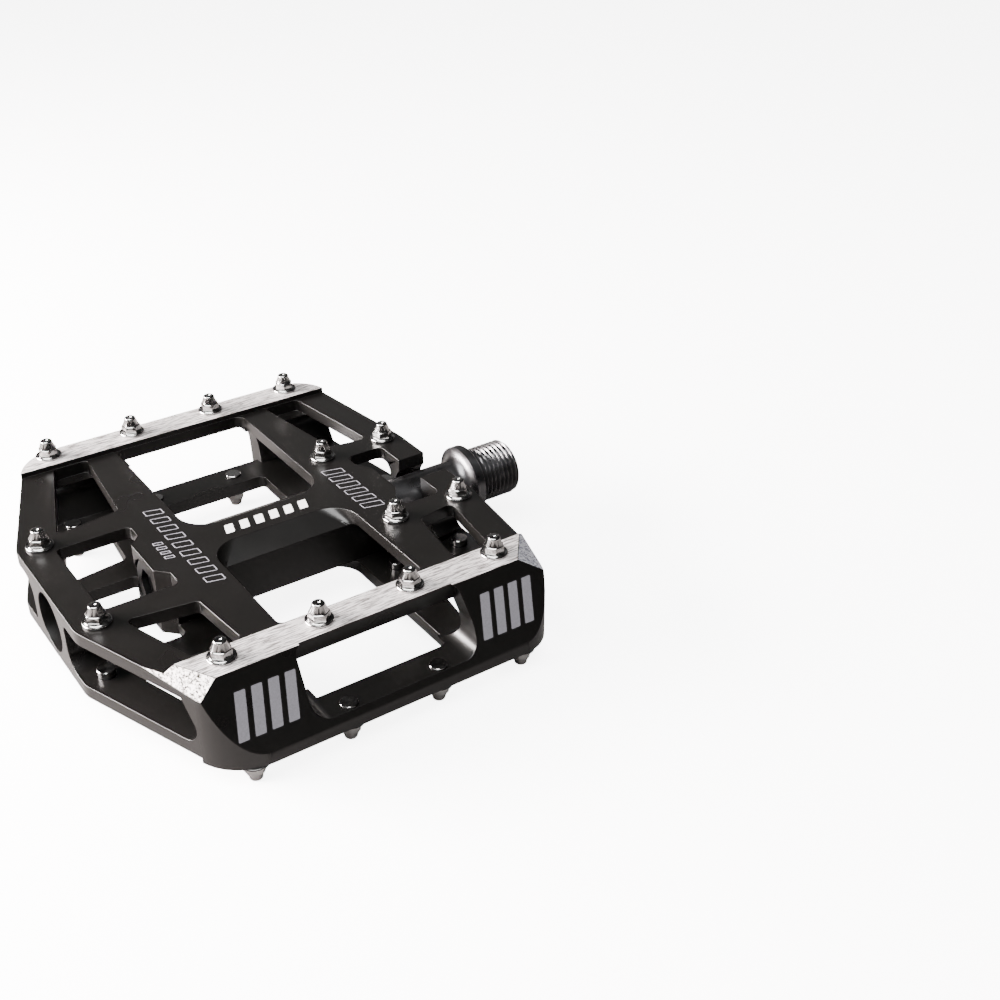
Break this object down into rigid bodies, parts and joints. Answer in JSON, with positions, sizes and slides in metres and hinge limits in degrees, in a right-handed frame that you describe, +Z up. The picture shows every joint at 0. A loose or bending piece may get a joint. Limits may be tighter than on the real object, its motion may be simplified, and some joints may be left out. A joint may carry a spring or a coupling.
{
  "type": "flat pedal",
  "caption": "Left-hand flat bicycle pedal: hollow machined platform with grip pins on both sides, turning on a steel spindle with ball bearings and a bush.",
  "frame": {"origin": "on the spindle axis, where the collar's face meets the crank arm", "axes": "+X along the spindle towards the crank, +Y to the back of the bicycle, +Z up; the platform lies level"},
  "size_m": [0.1217, 0.118, 0.0284],
  "materials": {
    "body_anodised": "satin black anodised, with bare brushed edge strips",
    "spindle_steel": "turned and polished chromoly steel",
    "pin_steel": "bright plated steel",
    "bearing_steel": "ground bearing steel",
    "cage_brass": "satin",
    "shield_rubber": "matt",
    "bush_plastic": "self-lubricating polymer, matt",
    "seal_rubber": "matt",
    "nut_steel": "zinc plated",
    "cap_anodised": "satin black anodised"
  },
  "bodies": {
    "spindle_set": {"spindle": "spindle_steel", "thrust_washer": "nut_steel", "lock_nut": "nut_steel", "outer_bearing_inner_race": "bearing_steel", "inner_bearing_inner_race": "bearing_steel"},
    "platform": {"pedal_body": "body_anodised", "inboard_bush": "bush_plastic", "inboard_seal": "seal_rubber", "end_cap": "cap_anodised", "end_cap_oring": "seal_rubber", "outer_bearing_outer_race": "bearing_steel", "outer_bearing_shields": "shield_rubber", "inner_bearing_outer_race": "bearing_steel", "inner_bearing_shields": "shield_rubber", "upper_front_rail_pins": "pin_steel", "upper_rear_rail_pins": "pin_steel", "upper_inboard_pins": "pin_steel", "upper_outboard_pins": "pin_steel", "lower_front_rail_pins": "pin_steel", "lower_rear_rail_pins": "pin_steel", "lower_inboard_pins": "pin_steel", "lower_outboard_pins": "pin_steel"},
    "outer_ball_set": {"outer_bearing_balls": "bearing_steel", "outer_bearing_cage": "cage_brass"},
    "inner_ball_set": {"inner_bearing_balls": "bearing_steel", "inner_bearing_cage": "cage_brass"}
  },
  "joints": [
    {"name": "platform_spin", "type": "hinge", "parent": "spindle_set", "child": "platform", "pos_m": [-0.0563, 0, 0], "axis": [1, 0, 0], "continuous": true},
    {"name": "outer_balls_spin", "type": "hinge", "parent": "spindle_set", "child": "outer_ball_set", "pos_m": [-0.0563, 0, 0], "axis": [1, 0, 0], "continuous": true},
    {"name": "inner_balls_spin", "type": "hinge", "parent": "spindle_set", "child": "inner_ball_set", "pos_m": [-0.0563, 0, 0], "axis": [1, 0, 0], "continuous": true}
  ],
  "couplings": [
    {"joint": "outer_balls_spin", "follows": "platform_spin", "ratio": 0.58182},
    {"joint": "inner_balls_spin", "follows": "platform_spin", "ratio": 0.58182}
  ]
}
